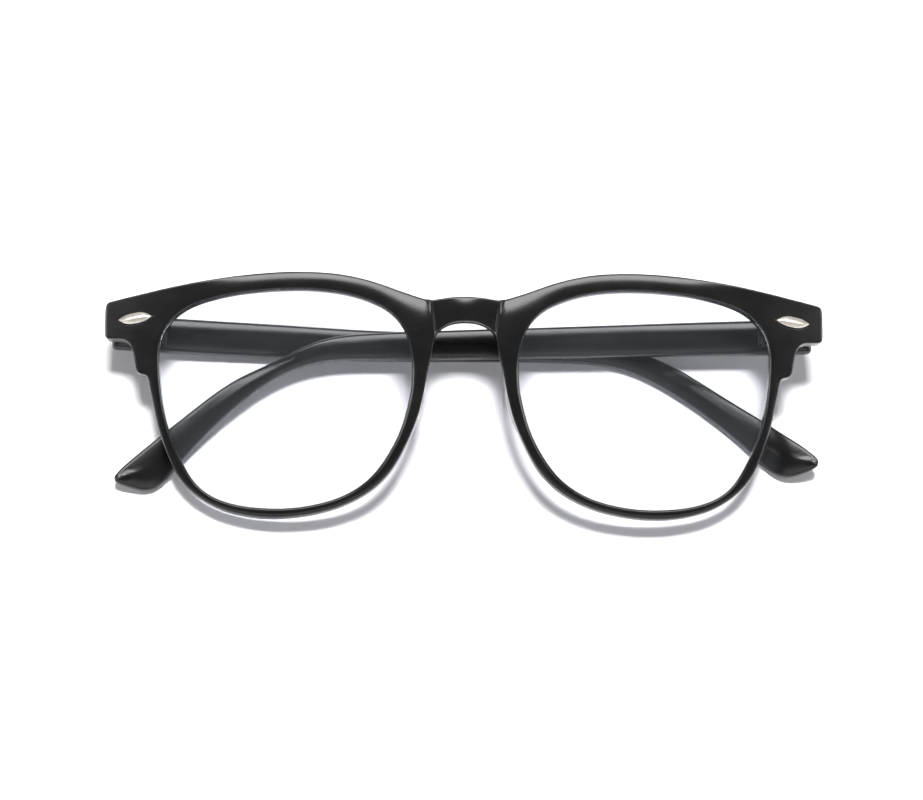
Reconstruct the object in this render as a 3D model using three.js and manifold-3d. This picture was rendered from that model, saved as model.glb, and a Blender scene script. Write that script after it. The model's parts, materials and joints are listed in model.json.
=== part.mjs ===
// Clear-lens spectacles, folded. The front is built in its own frame: x across the face (wearer's left is +x),
// y up the lenses, z out of the front surface. Each arm is built about its hinge pin and folded behind the front.
// The whole is then tipped onto the lower arm and the ear tip, as it lies on a table. Millimetres.
import * as THREE from 'three';
import { mergeVertices } from 'three/addons/utils/BufferGeometryUtils.js';
import Module from 'manifold-3d';

// ---- driving dimensions, mm and degrees
const BOW_R = 360;            // wrap of the front across the face
const BOW_V = 260;            // and down the lens
const RIM_T = 3.8;            // rim thickness, front to back
const EDGE = 0.45;            // rounding of the rim edges
const JOINT_Z = -11.5;        // back face of the end pieces, where the arms meet the front
const PIN_X = 65.75;          // hinge pin
const PIN_Y = 16.2;
const PIN_Z = -17.6;
const ARM_OFF = 1.75;         // pin axis to the arm's inner face
const ARM_T = 3.2;            // arm thickness
const ARM_SWELL = 0.55;       // extra thickness at the hinge end
const GAP = 0.3;              // air between neighbouring pieces
const FOLD_RIGHT = -2.9;      // angle of the folded arm to the front's plane, positive towards the lenses
const FOLD_LEFT = 1.4;
const DROOP_RIGHT = 2.9;      // slope of the folded arm across the front
const DROOP_LEFT = 2.05;
const TIP_BEND_RIGHT = 14.8;  // how far the ear tip curves in towards the head; the two have been bent to fit
const TIP_BEND_LEFT = 8.0;
const TIP_POWER_RIGHT = 2.0;  // how late in its length each curve comes on
const TIP_POWER_LEFT = 1.6;
const BEND_FROM = 82;         // where that curve begins, from the pin
const KNUCKLE_R = 1.45;
const BORE_R = 0.85;
const SCREW_R = 0.55;
const LENS_T = 1.6;
const LENS_SEAT = 0.7;        // how far the lens edge goes into the rim groove
const TILT = 22.14;           // the front's tilt on the table, top edge up
const ROLL = -1.40;           // and its lean to one side

// ---- outlines of the front, wearer's left half
const BROW = [[6.9,20.22],[8.9,20.72],[10.9,21.42],[13,22.1],[15,22.85],[17,23.56],[19,24.17],[21,24.74],[23,25.18],[25,25.55],[27,25.81],[29,25.97],[32,26.1],[35,26.13],[38,26.05],[41,25.86],[44,25.6],[47,25.26],[50,24.86],[53,24.38],[56,23.85],[59,23.24],[62,22.62],[65,21.93],[68,21.28],[70.3,20.74]];
const END_PIECE = [[71.3,20.38],[71.9,19.6],[72.12,18.5],[72.17,17],[72.15,15.5],[72.08,14.2],[71.85,13.35],[71.2,12.95],[70,12.85],[68.5,12.75],[67.6,12.4],[66.95,11.7],[66.5,10.6],[66.2,9.4],[65.95,8],[65.7,6.9],[65.35,6.1],[64.8,5.65],[63.9,5.45],[63.3,5.15]];
const RIM = [[63.0,4.2],[62.7,2.5],[62.2,0],[61.6,-2.6],[61.0,-5.1],[60.5,-6.6],[59.8,-8.8],[58.9,-11.1],[57.7,-13.7],[56.8,-15.1],[55.85,-16.35],[54.7,-17.55],[53,-18.95],[51,-20.25],[49,-21.25],[47,-21.98],[45,-22.5],[42,-23.06],[39,-23.33],[36,-23.32],[33,-23.06],[30,-22.62],[27,-21.92],[25,-21.3],[22.3,-20.15],[20.1,-19],[18.4,-17.85],[17,-16.7],[15.8,-15.5],[14.75,-14.3],[13.9,-13.1],[13.2,-11.95],[12.55,-10.75],[11.42,-8.4],[10.36,-6],[9.47,-3.65],[8.82,-1.3],[8.27,1.1],[7.83,3.5],[7.41,5.9],[6.95,8.1],[6.5,10.5],[6.2,12.2]];
const ARCH = [[5.9,13.2],[5.3,14.05],[4.4,14.75],[3.1,15.4],[1.6,15.78],[0,15.88]];
const BRIDGE_TOP = [[0,21],[2,20.93],[4,20.68],[5.6,20.42]];
const APERTURE = [[10.6,5.8],[10.75,2.4],[11.2,-0.1],[11.9,-3],[12.8,-5.9],[14.05,-8.7],[15.5,-11.25],[17.15,-13.65],[19.16,-15.84],[21.5,-17.62],[24.05,-18.98],[26.74,-19.98],[29.47,-20.66],[32.22,-21.14],[35,-21.4],[37.85,-21.44],[40.75,-21.3],[43.7,-20.95],[46.75,-20.25],[49.7,-19.15],[52.3,-17.4],[54.35,-15.05],[56.05,-12.1],[57.5,-9.25],[58.6,-6.35],[59.5,-3.25],[60.2,0],[60.65,3.3],[60.95,6.5],[61.12,9.3],[61.05,11.6],[60.6,13.5],[59.6,15.3],[58,17.2],[55.8,18.85],[53.2,19.98],[50.8,20.68],[47.4,21.44],[44.1,21.95],[41,22.22],[38,22.42],[35,22.5],[32,22.48],[29,22.27],[26,21.9],[22.8,21.25],[19.6,20.2],[16.6,18.85],[14,16.85],[12.1,14.2],[11.1,11.1],[10.65,8.4]];
// ---- side outlines of the arms: distance back from the pin, height above it
const RIGHT_TOP = [[-3,3.5],[7.6,3.55],[24,3.57],[36.2,3.54],[46.5,3.6],[56.7,3.94],[69,4.53],[81.4,4.98],[89.6,4.84],[95.8,4.21],[100.98,2.97],[106.15,1.09],[110.32,-0.87],[114.36,-3.26],[118.49,-5.87],[122.6,-8.45],[126.59,-10.95],[130.56,-13.59],[134.59,-16.3],[136.7,-17.96],[137.74,-18.93],[138.12,-19.8],[137.93,-20.65]];
const RIGHT_BOTTOM = [[-3,-3.6],[4,-3.58],[12.2,-3.52],[20.3,-3.45],[32.6,-3.2],[44.8,-2.78],[57.1,-2.16],[69.3,-1.4],[81.7,-0.72],[89.9,-0.51],[96.1,-0.92],[100.19,-1.82],[104.37,-3.5],[108.43,-5.67],[112.59,-8.26],[116.73,-11.19],[120.85,-14.41],[124.94,-18.1],[126.98,-20.18],[129.02,-22.04],[130.95,-22.92],[132.87,-23.0],[134.79,-22.42],[136.89,-21.49]];
const LEFT_TOP = [[-3,3.65],[6.9,3.62],[17.2,3.57],[27.5,3.46],[37.8,3.36],[50.1,3.28],[62.3,3.24],[72.6,3.16],[82.8,3.02],[88.9,2.75],[93,2.2],[96,1.35],[99.1,0.1],[103.2,-1.95],[107.3,-3.9],[111.3,-5.75],[115.4,-8.25],[119.4,-11.22],[123.4,-14.39],[127.5,-17.6],[131.5,-20.87],[134.5,-23.41],[136.1,-24.98],[136.8,-26.02],[136.7,-26.95]];
const LEFT_BOTTOM = [[-3,-3.56],[5.1,-3.5],[13.4,-3.41],[21.6,-3.31],[38,-3.15],[54.4,-3.02],[70.7,-2.86],[82.9,-2.62],[91.1,-2.5],[95.1,-2.89],[99.2,-3.88],[103.3,-5.6],[107.4,-8.12],[111.4,-11.2],[115.5,-14.75],[118.6,-17.79],[121.6,-20.9],[124,-23.7],[126.1,-26.2],[127.9,-27.95],[129.7,-28.8],[131.6,-28.81],[133.6,-28.25],[135.6,-27.6]];

const rad = THREE.MathUtils.degToRad;
const surf = (x, y) => -(x * x) / (2 * BOW_R) - (y * y) / (2 * BOW_V);
const wasm = await Module();
wasm.setup();

function solid(geo) {
  const g = geo.clone();
  g.deleteAttribute('normal');
  g.deleteAttribute('uv');
  const m = mergeVertices(g, 1e-4);
  return new wasm.Manifold(new wasm.Mesh({
    numProp: 3,
    vertProperties: new Float32Array(m.attributes.position.array),
    triVerts: new Uint32Array(m.index.array),
  }));
}
function geometry(man) {
  const mesh = man.getMesh();
  const p = new Float32Array(mesh.numVert * 3);
  for (let i = 0; i < mesh.numVert; i++) for (let k = 0; k < 3; k++) p[3 * i + k] = mesh.vertProperties[mesh.numProp * i + k];
  const g = new THREE.BufferGeometry();
  g.setAttribute('position', new THREE.BufferAttribute(p, 3));
  g.setIndex(new THREE.BufferAttribute(new Uint32Array(mesh.triVerts), 1));
  return g;
}
const union = (list) => list.reduce((a, b) => a.add(b));
const cut = (body, list) => list.reduce((a, b) => a.subtract(b), body);
function warp(geo, f) {
  const p = geo.attributes.position, v = new THREE.Vector3();
  for (let i = 0; i < p.count; i++) {
    v.fromBufferAttribute(p, i);
    f(v);
    p.setXYZ(i, v.x, v.y, v.z);
  }
  return geo;
}
function mirrored(geo) {
  const g = geo.clone();
  warp(g, (v) => { v.x = -v.x; });
  const ix = g.index.array;
  for (let i = 0; i < ix.length; i += 3) { const t = ix[i]; ix[i] = ix[i + 1]; ix[i + 1] = t; }
  return g;
}
function box(x0, x1, y0, y1, z0, z1) {
  const g = new THREE.BoxGeometry(x1 - x0, y1 - y0, z1 - z0);
  g.translate((x0 + x1) / 2, (y0 + y1) / 2, (z0 + z1) / 2);
  return solid(g);
}
function rodY(r, y0, y1, x = 0, z = 0, n = 20) {
  const g = new THREE.CylinderGeometry(r, r, y1 - y0, n);
  g.translate(x, (y0 + y1) / 2, z);
  return solid(g);
}
function rodX(r, x0, x1, y, z, n = 14) {
  const g = new THREE.CylinderGeometry(r, r, x1 - x0, n);
  g.rotateZ(Math.PI / 2);
  g.translate((x0 + x1) / 2, y, z);
  return solid(g);
}
function rodZ(r, z0, z1, x, y, n = 14) {
  const g = new THREE.CylinderGeometry(r, r, z1 - z0, n);
  g.rotateX(Math.PI / 2);
  g.translate(x, y, (z0 + z1) / 2);
  return solid(g);
}
// evenly spaced points on a smooth curve through a list
function smooth(list, step, closed = false) {
  const c = new THREE.CatmullRomCurve3(list.map(([x, y]) => new THREE.Vector3(x, y, 0)), closed, 'centripetal');
  const n = Math.max(2, Math.round(c.getLength() / step));
  const out = c.getSpacedPoints(n).map((p) => new THREE.Vector2(p.x, p.y));
  if (closed) out.pop();
  return out;
}
const flipX = (pts) => pts.map((p) => new THREE.Vector2(-p.x, p.y));

// ---- front
const half = [
  ...smooth([...BRIDGE_TOP, BROW[0]], 1.4),
  ...smooth(BROW, 2.0).slice(1),
  ...smooth([BROW.at(-1), ...END_PIECE], 0.8).slice(1),
  ...smooth([END_PIECE.at(-1), ...RIM, ARCH[0]], 1.9).slice(1),
  ...smooth(ARCH, 1.0).slice(1),
];
const outline = [...half, ...flipX(half).reverse().slice(1, -1)];
const aperture = smooth(APERTURE, 2.0, true);
function offset(pts, d) {
  const n = pts.length, out = [];
  let area = 0;
  for (let i = 0; i < n; i++) area += pts[i].cross(pts[(i + 1) % n]);
  const s = Math.sign(area);
  for (let i = 0; i < n; i++) {
    const t = pts[(i + 1) % n].clone().sub(pts[(i + n - 1) % n]).normalize();
    out.push(new THREE.Vector2(pts[i].x + s * t.y * d, pts[i].y - s * t.x * d));
  }
  return out;
}
function slab(shape, top, thick, edge) {
  // a plate whose top face follows the front surface, `top` above it
  const g = new THREE.ExtrudeGeometry(shape, {
    depth: thick - 2 * edge, bevelEnabled: edge > 0, bevelThickness: edge, bevelSize: edge, bevelOffset: -edge,
    bevelSegments: 1, curveSegments: 4,
  });
  return warp(g, (v) => { v.z = v.z + edge - thick + top + surf(v.x, v.y); });
}
function disc(pts, top, thick) {
  // a lens-shaped plate: rings from the middle out to the outline, following the front surface
  const c = new THREE.Vector2(36, 0);
  const n = pts.length;
  const prof = [[0, 0], [0.3, 0], [0.6, 0], [0.85, 0], [1, 0], [1, -1], [0.85, -1], [0.6, -1], [0.3, -1], [0, -1]].map(([r, z]) => new THREE.Vector2(r, z));
  const g = new THREE.LatheGeometry(prof.reverse(), n);
  return warp(g, (v) => {
    const r = Math.hypot(v.x, v.z);
    let i = Math.round((Math.atan2(v.x, v.z) / (2 * Math.PI)) * n);
    i = ((i % n) + n) % n;
    const down = v.y;
    const x = c.x + (pts[i].x - c.x) * r, y = c.y + (pts[i].y - c.y) * r;
    v.set(x, y, top + down * thick + surf(x, y));
  });
}
function outward(geo) {
  // turn faces outwards if a warp left them facing in
  const g = geo.index ? geo : mergeVertices(geo, 1e-6);
  const p = g.attributes.position, ix = g.index.array;
  let vol = 0;
  const a = new THREE.Vector3(), b = new THREE.Vector3(), c = new THREE.Vector3();
  for (let i = 0; i < ix.length; i += 3) {
    a.fromBufferAttribute(p, ix[i]); b.fromBufferAttribute(p, ix[i + 1]); c.fromBufferAttribute(p, ix[i + 2]);
    vol += a.dot(b.cross(c));
  }
  if (vol < 0) for (let i = 0; i < ix.length; i += 3) { const t = ix[i]; ix[i] = ix[i + 1]; ix[i + 1] = t; }
  return g;
}

const ring = new THREE.Shape(outline);
ring.holes.push(new THREE.Path(aperture), new THREE.Path(flipX(aperture).reverse()));
let front = solid(slab(ring, 0, RIM_T, EDGE));

// the end pieces run back to meet the arms
const endPts = [[62.3, 22.35], [65, 21.75], [68, 21.1], [70.2, 20.58], [71.15, 20.22], [71.7, 19.5], [71.92, 18.45], [71.97, 17], [71.95, 15.5], [71.88, 14.25], [71.6, 13.5], [71.1, 13.15], [70, 13.05], [68.4, 12.95], [67.4, 12.55], [66.7, 11.7], [62.3, 11.4]];
const endShape = new THREE.Shape(endPts.map(([x, y]) => new THREE.Vector2(x, y)));
const endGeo = new THREE.ExtrudeGeometry(endShape, { depth: 3.2, bevelEnabled: true, bevelThickness: 0.4, bevelSize: 0.3, bevelOffset: -0.3, bevelSegments: 1 });
endGeo.translate(0, 0, JOINT_Z + 0.4);
const endBlock = mergeVertices((() => { const g = endGeo; g.deleteAttribute('normal'); g.deleteAttribute('uv'); return g; })(), 1e-4);

// moulded nose pads behind the inner rims
function pad() {
  const g = new THREE.SphereGeometry(1, 18, 12);
  g.scale(1.2, 5.4, 3.4);
  g.rotateY(rad(4));
  g.rotateZ(rad(19.5));
  g.translate(10.15, -2.2, -4.4);
  g.deleteAttribute('normal'); g.deleteAttribute('uv');
  return mergeVertices(g, 1e-4);
}
const padGeo = pad();
front = union([front, solid(endBlock), solid(mirrored(endBlock)), solid(padGeo), solid(mirrored(padGeo))]);

// the bridge lies a little below the rims on either side of it
const saddle = new THREE.Shape([[6.75, 22.5], [6.62, 19.5], [6.2, 16], [5.75, 13.4], [5.6, 11.5]].map(([x, y]) => new THREE.Vector2(x, y)).concat(
  [[5.6, 11.5], [5.75, 13.4], [6.2, 16], [6.62, 19.5], [6.75, 22.5]].map(([x, y]) => new THREE.Vector2(-x, y))));
const saddleCut = slab(saddle, 3.0 , 3.45, 0);

// lens grooves
const seat = offset(aperture, LENS_SEAT + GAP);
const lensEdge = offset(aperture, LENS_SEAT);
const LENS_TOP = -(RIM_T - LENS_T) / 2;
// start the rings on the same heading as the lathe's first column
function fromHeading(pts) {
  const c = new THREE.Vector2(36, 0), n = pts.length;
  const ccw = pts.slice();
  let area = 0;
  for (let i = 0; i < n; i++) area += ccw[i].cross(ccw[(i + 1) % n]);
  if (area > 0) ccw.reverse();
  let best = 0;
  ccw.forEach((p, i) => { if (p.x > c.x - 3 && Math.abs(p.x - c.x) + (p.y > 0 ? 0 : 99) < Math.abs(ccw[best].x - c.x) + (ccw[best].y > 0 ? 0 : 99)) best = i; });
  return [...ccw.slice(best), ...ccw.slice(0, best)];
}
const grooveGeo = outward(disc(fromHeading(seat), LENS_TOP + GAP, LENS_T + 2 * GAP));
const lensGeo = outward(disc(fromHeading(lensEdge), LENS_TOP, LENS_T));

// decorative rivets on the end pieces: a pointed oval head with a short pin
const RIVET_X = 66.0, RIVET_Y = 17.0, RIVET_TURN = -5;
function oval(l, h) {
  const s = new THREE.Shape();
  s.moveTo(-l / 2, 0);
  s.quadraticCurveTo(-l * 0.27, h * 0.66, 0, h / 2);
  s.quadraticCurveTo(l * 0.27, h * 0.66 - h * 0.16, l / 2, 0);
  s.quadraticCurveTo(l * 0.27, -h * 0.66, 0, -h / 2);
  s.quadraticCurveTo(-l * 0.27, -h * 0.66 + h * 0.16, -l / 2, 0);
  return s;
}
const rivetZ = surf(RIVET_X, RIVET_Y);
const rivetTilt = Math.atan(RIVET_X / BOW_R);
function place(geo) {
  geo.rotateZ(rad(RIVET_TURN));
  geo.rotateX(-Math.atan(RIVET_Y / BOW_V));
  geo.rotateY(rivetTilt);
  geo.translate(RIVET_X, RIVET_Y, rivetZ);
  return geo;
}
const headGeo = new THREE.ExtrudeGeometry(oval(7.0, 2.15), { depth: 0.5, bevelEnabled: true, bevelThickness: 0.35, bevelSize: 0.3, bevelOffset: -0.3, bevelSegments: 2, curveSegments: 7 });
headGeo.translate(0, 0, -0.4 + 0.05);
const pinGeo = new THREE.CylinderGeometry(0.5, 0.5, 1.6, 14);
pinGeo.rotateX(Math.PI / 2);
pinGeo.translate(0, 0, -1.35);
const rivet = solid(place(headGeo)).add(solid(place(pinGeo)));
const rivetPocketGeo = new THREE.ExtrudeGeometry(oval(7.9, 2.9), { depth: 2, bevelEnabled: false, curveSegments: 7 });
rivetPocketGeo.translate(0, 0, -1.0);
const rivetHoleGeo = new THREE.CylinderGeometry(0.8, 0.8, 2.5, 14);
rivetHoleGeo.rotateX(Math.PI / 2);
rivetHoleGeo.translate(0, 0, -1.2);
const rivetPocket = solid(place(rivetPocketGeo)).add(solid(place(rivetHoleGeo)));

// ---- hinge, in the pin's frame: x outwards, y along the pin, z forwards, arm open
const seatZ = JOINT_Z - PIN_Z;     // the end piece's back face
const bore = rodY(BORE_R, -4, 4);
function frontLeaf() {
  const parts = [box(-2.6, 1.35, -2.7, 2.7, seatZ - 0.6, seatZ + 0.6)];
  for (const [a, b] of [[1.0, 2.6], [-2.6, -1.0]]) {
    parts.push(rodY(KNUCKLE_R, a, b), box(-1.3, 0.6, a, b, 0, seatZ - 0.2));
  }
  return cut(union(parts), [bore, rodZ(0.7, seatZ - 2, seatZ + 2, -0.35, 0)]);
}
const frontPocket = [box(-2.9, 1.65, -3.0, 3.0, seatZ - 0.5, seatZ + 0.9), rodZ(0.7, seatZ - 1, seatZ + 2.5, -0.35, 0)];
function frontScrew() {
  return cut(rodZ(0.78, seatZ - 1.4, seatZ - 0.9, -0.35, 0).add(rodZ(0.4, seatZ - 1.1, seatZ + 2.2, -0.35, 0)), [box(-2, 2, -0.12, 0.12, seatZ - 1.6, seatZ - 1.2)]);
}
const PLATE = [1.9, 5.3];
const ARM_SCREW_Y = 1.15, ARM_SCREW_Z = -4.15;
function armLeaf() {
  return cut(union([
    rodY(KNUCKLE_R, -0.75, 0.75), box(0.15, 1.4, -0.75, 0.75, -3.2, 0),
    box(1.15, 2.35, -2.1, 2.1, -PLATE[1], -PLATE[0]),
  ]), [bore, rodX(0.7, 0, 4, ARM_SCREW_Y, ARM_SCREW_Z), rodX(0.7, 0, 4, -ARM_SCREW_Y, ARM_SCREW_Z)]);
}
const armPocket = [box(1.0, 2.65, -2.4, 2.4, -PLATE[1] - GAP, -PLATE[0] + GAP), rodX(0.7, 1.5, 4.1, ARM_SCREW_Y, ARM_SCREW_Z), rodX(0.7, 1.5, 4.1, -ARM_SCREW_Y, ARM_SCREW_Z)];
function armScrew(y) {
  const z = ARM_SCREW_Z;
  return cut(rodX(0.78, 0.35, 0.85, y, z).add(rodX(0.4, 0.7, 3.8, y, z)), [box(0.2, 0.55, y - 0.12, y + 0.12, z - 2, z + 2)]);
}
function hingeScrew() {
  return cut(rodY(SCREW_R, -2.5, 3.2).add(rodY(1.1, 2.9, 3.6)), [box(-3, 3, 3.3, 4, -0.17, 0.17)]);
}

// ---- arms, in the pin's frame, open: running back along -z
function armSolid(top, bottom, tipBend, tipPower) {
  const t = smooth([[-5.2, top[0][1]], ...top], 2.6), b = smooth([[-5.2, bottom[0][1]], ...bottom], 2.6);
  const end = [[-5.62, bottom[0][1] + 0.18], [-5.8, bottom[0][1] + 0.6], [-5.8, top[0][1] - 0.6], [-5.62, top[0][1] - 0.18]].map(([x, y]) => new THREE.Vector2(x, y));
  const pts = [...t, ...b.reverse(), ...end];
  const g = new THREE.ExtrudeGeometry(new THREE.Shape(pts), {
    depth: ARM_T - 1.2, bevelEnabled: true, bevelThickness: 0.6, bevelSize: 0.6, bevelOffset: -0.6, bevelSegments: 2,
  });
  warp(g, (v) => {
    const u = v.x, y = v.y;
    let w = (v.z + 0.6) * (1 + (ARM_SWELL / ARM_T) * (1 - THREE.MathUtils.smoothstep(u, 9, 34))) + ARM_OFF;
    if (u > BEND_FROM) w -= tipBend * Math.pow((u - BEND_FROM) / 55, tipPower);
    v.set(w, y, -u);
  });
  return cut(solid(outward(mergeVertices((g.deleteAttribute('normal'), g.deleteAttribute('uv'), g), 1e-4))), armPocket);
}

// ---- assembly
const BLACK = { color: 0x111213, roughness: 0.16, metalness: 0.0 };
const CLEAR = { color: 0xeef4fb, roughness: 0.03, metalness: 0.0 };
const CHAMPAGNE = { color: 0xc9c0ae, roughness: 0.3, metalness: 1.0 };
const STEEL = { color: 0xb4b6b8, roughness: 0.3, metalness: 1.0 };
const part = new THREE.Group();
const lying = new THREE.Group();
lying.rotation.set(rad(TILT), rad(ROLL), 0, 'YXZ');
part.add(lying);
function node(name, geo, look) {
  geo.computeVertexNormals();
  const m = new THREE.Mesh(geo, new THREE.MeshStandardMaterial(look));
  m.name = name;
  return m;
}
const frontCuts = [solid(saddleCut), solid(grooveGeo), solid(outward(mirrored(grooveGeo))), rivetPocket, solid(outward(mirrored(geometry(rivetPocket))))];
for (const side of [1, -1]) {
  const droop = rad(side > 0 ? DROOP_LEFT : DROOP_RIGHT);
  for (const c of frontPocket) {
    let g = geometry(c);
    g.rotateZ(droop);
    g.translate(PIN_X, PIN_Y, PIN_Z);
    if (side < 0) g = outward(mirrored(g));
    frontCuts.push(solid(g));
  }
}
front = cut(front, frontCuts);
lying.add(node('frame_front', geometry(front), BLACK));

for (const [side, label] of [[1, 'left'], [-1, 'right']]) {
  const own = (geo) => (side > 0 ? geo : outward(mirrored(geo)));
  lying.add(node('lens_' + label, own(lensGeo.clone()), CLEAR));
  lying.add(node('rivet_' + label, own(geometry(rivet)), CHAMPAGNE));
  const droop = rad(side > 0 ? DROOP_LEFT : DROOP_RIGHT) * side;
  const fold = rad(90 + (side > 0 ? FOLD_LEFT : FOLD_RIGHT)) * side;
  const pin = new THREE.Group();
  pin.position.set(PIN_X * side, PIN_Y, PIN_Z);
  pin.rotation.z = droop;
  lying.add(pin);
  pin.add(node('hinge_front_' + label, own(geometry(frontLeaf())), STEEL));
  pin.add(node('hinge_front_screw_' + label, own(geometry(frontScrew())), STEEL));
  pin.add(node('hinge_pin_' + label, own(geometry(hingeScrew())), STEEL));
  const arm = new THREE.Group();
  arm.rotation.y = fold;
  pin.add(arm);
  arm.add(node('temple_' + label, own(geometry(side > 0 ? armSolid(LEFT_TOP, LEFT_BOTTOM, TIP_BEND_LEFT, TIP_POWER_LEFT) : armSolid(RIGHT_TOP, RIGHT_BOTTOM, TIP_BEND_RIGHT, TIP_POWER_RIGHT))), BLACK));
  arm.add(node('hinge_arm_' + label, own(geometry(armLeaf())), STEEL));
  arm.add(node('hinge_arm_screw_a_' + label, own(geometry(armScrew(ARM_SCREW_Y))), STEEL));
  arm.add(node('hinge_arm_screw_b_' + label, own(geometry(armScrew(-ARM_SCREW_Y))), STEEL));
}

// stand it on z = 0 with the middle of its footprint at the origin
part.updateMatrixWorld(true);
const bounds = new THREE.Box3();
lying.traverse((o) => {
  if (!o.isMesh) return;
  const p = o.geometry.attributes.position, v = new THREE.Vector3();
  for (let i = 0; i < p.count; i++) bounds.expandByPoint(v.fromBufferAttribute(p, i).applyMatrix4(o.matrixWorld));
});
lying.position.set(-(bounds.min.x + bounds.max.x) / 2, -(bounds.min.y + bounds.max.y) / 2, -bounds.min.z);
part.updateMatrixWorld(true);
export default part;
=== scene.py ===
import json
import math

import bmesh
import bpy
import numpy as np
from mathutils import Matrix, Vector
from mathutils.geometry import delaunay_2d_cdt


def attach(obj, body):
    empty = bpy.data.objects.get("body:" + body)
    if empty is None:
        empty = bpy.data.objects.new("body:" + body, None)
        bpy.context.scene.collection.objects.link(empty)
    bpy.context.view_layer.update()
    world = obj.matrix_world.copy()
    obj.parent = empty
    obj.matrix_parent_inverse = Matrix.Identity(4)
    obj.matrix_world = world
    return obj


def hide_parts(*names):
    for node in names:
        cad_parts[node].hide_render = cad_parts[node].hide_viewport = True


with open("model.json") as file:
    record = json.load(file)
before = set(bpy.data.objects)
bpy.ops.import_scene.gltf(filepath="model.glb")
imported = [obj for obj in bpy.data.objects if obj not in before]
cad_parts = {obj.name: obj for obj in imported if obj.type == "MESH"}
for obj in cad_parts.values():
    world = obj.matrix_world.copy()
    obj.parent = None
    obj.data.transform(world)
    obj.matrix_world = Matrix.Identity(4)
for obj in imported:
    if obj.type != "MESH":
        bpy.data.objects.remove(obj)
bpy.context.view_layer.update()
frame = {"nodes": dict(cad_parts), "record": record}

# The front is shaped in its own frame, in millimetres: x across the face with the wearer's left positive,
# y up the lenses and z out of the front surface. Each arm is shaped about its hinge pin.
BOW_R, BOW_V = 360.0, 260.0
RIM_T = 3.8
JOINT_Z = -11.5
PIN = np.array([65.75, 16.2, -17.6])
ARM_OFF, ARM_T, ARM_SWELL = 1.75, 3.2, 0.55
FOLD = {"left": 1.4, "right": -2.9}
DROOP = {"left": 2.05, "right": 2.9}
TIP_BEND = {"left": 8.0, "right": 14.8}
TIP_POWER = {"left": 1.6, "right": 2.0}
BEND_FROM = 82.0
TILT, ROLL = 22.14, -1.40

BROW = [[6.9,20.22],[8.9,20.72],[10.9,21.42],[13,22.1],[15,22.85],[17,23.56],[19,24.17],[21,24.74],[23,25.18],[25,25.55],[27,25.81],[29,25.97],[32,26.1],[35,26.13],[38,26.05],[41,25.86],[44,25.6],[47,25.26],[50,24.86],[53,24.38],[56,23.85],[59,23.24],[62,22.62],[65,21.93],[68,21.28],[70.3,20.74]]
END_PIECE = [[71.5,20.42],[71.97,19.98],[72.12,19.1],[72.17,17],[72.15,15.5],[72.1,13.95],[71.98,13.3],[71.5,12.96],[70,12.85],[68.5,12.75],[67.6,12.4],[66.95,11.7],[66.5,10.6],[66.2,9.4],[65.95,8],[65.7,6.9],[65.35,6.1],[64.8,5.65],[63.9,5.45],[63.3,5.15]]
RIM = [[63.0,4.2],[62.7,2.5],[62.2,0],[61.6,-2.6],[61.0,-5.1],[60.5,-6.6],[59.8,-8.8],[58.9,-11.1],[57.7,-13.7],[56.8,-15.1],[55.85,-16.35],[54.7,-17.55],[53,-18.95],[51,-20.25],[49,-21.25],[47,-21.98],[45,-22.5],[42,-23.06],[39,-23.33],[36,-23.32],[33,-23.06],[30,-22.62],[27,-21.92],[25,-21.3],[22.3,-20.15],[20.1,-19],[18.4,-17.85],[17,-16.7],[15.8,-15.5],[14.75,-14.3],[13.9,-13.1],[13.2,-11.95],[12.55,-10.75],[11.42,-8.4],[10.36,-6],[9.47,-3.65],[8.82,-1.3],[8.27,1.1],[7.83,3.5],[7.41,5.9],[6.95,8.1],[6.5,10.5],[6.2,12.2]]
ARCH = [[5.9,13.2],[5.3,14.05],[4.4,14.75],[3.1,15.4],[1.6,15.78],[0,15.88]]
BRIDGE_TOP = [[0,21],[2,20.93],[4,20.68],[5.6,20.42]]
APERTURE = [[10.6,5.8],[10.75,2.4],[11.2,-0.1],[11.9,-3],[12.8,-5.9],[14.05,-8.7],[15.5,-11.25],[17.15,-13.65],[19.16,-15.84],[21.5,-17.62],[24.05,-18.98],[26.74,-19.98],[29.47,-20.66],[32.22,-21.14],[35,-21.4],[37.85,-21.44],[40.75,-21.3],[43.7,-20.95],[46.75,-20.25],[49.7,-19.15],[52.3,-17.4],[54.35,-15.05],[56.05,-12.1],[57.5,-9.25],[58.6,-6.35],[59.5,-3.25],[60.2,0],[60.65,3.3],[60.95,6.5],[61.12,9.3],[61.05,11.6],[60.6,13.5],[59.6,15.3],[58,17.2],[55.8,18.85],[53.2,19.98],[50.8,20.68],[47.4,21.44],[44.1,21.95],[41,22.22],[38,22.42],[35,22.5],[32,22.48],[29,22.27],[26,21.9],[22.8,21.25],[19.6,20.2],[16.6,18.85],[14,16.85],[12.1,14.2],[11.1,11.1],[10.65,8.4]]
ARM_TOP = {
    "right": [[-3,3.5],[7.6,3.55],[24,3.57],[36.2,3.54],[46.5,3.6],[56.7,3.94],[69,4.53],[81.4,4.98],[89.6,4.84],[95.8,4.21],[100.98,2.97],[106.15,1.09],[110.32,-0.87],[114.36,-3.26],[118.49,-5.87],[122.6,-8.45],[126.59,-10.95],[130.56,-13.59],[134.59,-16.3],[136.7,-17.96],[137.74,-18.93],[138.12,-19.8],[137.93,-20.65]],
    "left": [[-3,3.65],[6.9,3.62],[17.2,3.57],[27.5,3.46],[37.8,3.36],[50.1,3.28],[62.3,3.24],[72.6,3.16],[82.8,3.02],[88.9,2.75],[93,2.2],[96,1.35],[99.1,0.1],[103.2,-1.95],[107.3,-3.9],[111.3,-5.75],[115.4,-8.25],[119.4,-11.22],[123.4,-14.39],[127.5,-17.6],[131.5,-20.87],[134.5,-23.41],[136.1,-24.98],[136.8,-26.02],[136.7,-26.95]],
}
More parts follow.
